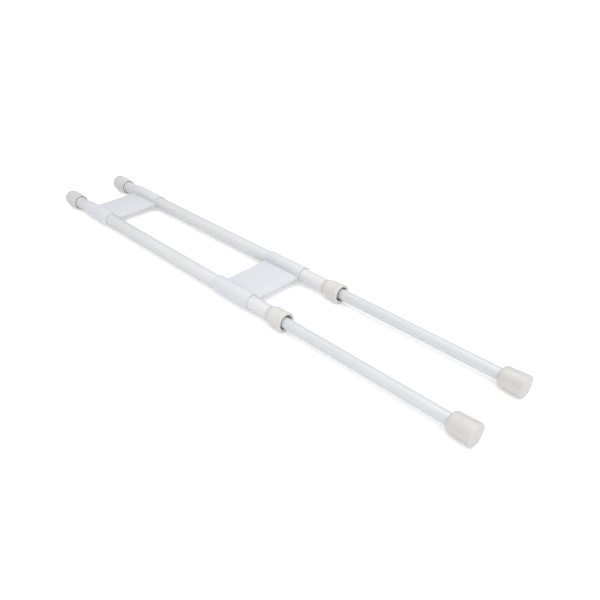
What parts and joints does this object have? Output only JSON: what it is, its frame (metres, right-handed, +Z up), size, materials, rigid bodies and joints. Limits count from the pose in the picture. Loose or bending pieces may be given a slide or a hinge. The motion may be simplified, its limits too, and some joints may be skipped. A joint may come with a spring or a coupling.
{
  "type": "window security bar",
  "caption": "Double telescoping tension bar: parallel spring-loaded rods with soft end caps, twist locks and clip-on spacers, braced by hand across a window reveal.",
  "frame": {"origin": "on the surface that the bar lies on, midway between the end faces at rest and midway between the rods", "axes": "+X along the rods, towards the small tubes and front caps; +Y across the bar, from the near rod to the far rod; +Z up"},
  "size_m": [0.5854, 0.0876, 0.0193],
  "materials": {
    "large_tube_paint": "satin white powder paint on steel tube",
    "small_tube_paint": "gloss white paint on steel tube, slightly blue",
    "soft_cap": "matt off-white soft vinyl",
    "pressure_cap": "satin translucent off-white vinyl",
    "spacer": "smooth cool white moulded plastic",
    "nylon": "natural nylon",
    "lock_core_plastic": "black nylon",
    "steel": "plain drawn steel",
    "spring_steel": "oiled spring wire"
  },
  "bodies": {
    "frame": {"near_tube": "large_tube_paint", "far_tube": "large_tube_paint", "near_rear_cap": "soft_cap", "far_rear_cap": "soft_cap", "near_collar": "soft_cap", "far_collar": "soft_cap", "rear_spacer": "spacer", "front_spacer": "spacer"},
    "near_lock": {"near_lock_ring": "nylon"},
    "near_drive": {"near_lock_core": "lock_core_plastic", "near_push_rod": "steel", "near_rod_head": "steel"},
    "near_slider": {"near_slim_tube": "small_tube_paint", "near_bush": "nylon", "near_spring_stop": "nylon", "near_front_cap": "pressure_cap", "near_spring": "spring_steel"},
    "far_lock": {"far_lock_ring": "nylon"},
    "far_drive": {"far_lock_core": "lock_core_plastic", "far_push_rod": "steel", "far_rod_head": "steel"},
    "far_slider": {"far_slim_tube": "small_tube_paint", "far_bush": "nylon", "far_spring_stop": "nylon", "far_front_cap": "pressure_cap", "far_spring": "spring_steel"}
  },
  "joints": [
    {"name": "near_length", "type": "slide", "parent": "frame", "child": "near_lock", "axis": [1, 0, 0], "range_m": [-0.143, 0.128]},
    {"name": "near_twist", "type": "hinge", "parent": "near_lock", "child": "near_drive", "pos_m": [-0.11365, -0.0338, 0.00948], "axis": [1, 0, 0], "range_deg": [-120, 0]},
    {"name": "near_spring_slide", "type": "slide", "parent": "near_drive", "child": "near_slider", "axis": [1, 0, 0], "range_m": [-0.025, 0], "stiffness_N_per_m": 1000, "springref_m": 0.01, "deforming": ["near_spring"]},
    {"name": "far_length", "type": "slide", "parent": "frame", "child": "far_lock", "axis": [1, 0, 0], "range_m": [-0.139, 0.128]},
    {"name": "far_twist", "type": "hinge", "parent": "far_lock", "child": "far_drive", "pos_m": [-0.11365, 0.0338, 0.00983], "axis": [1, 0, 0], "range_deg": [-120, 0]},
    {"name": "far_spring_slide", "type": "slide", "parent": "far_drive", "child": "far_slider", "axis": [1, 0, 0], "range_m": [-0.025, 0], "stiffness_N_per_m": 1000, "springref_m": 0.01, "deforming": ["far_spring"]}
  ]
}
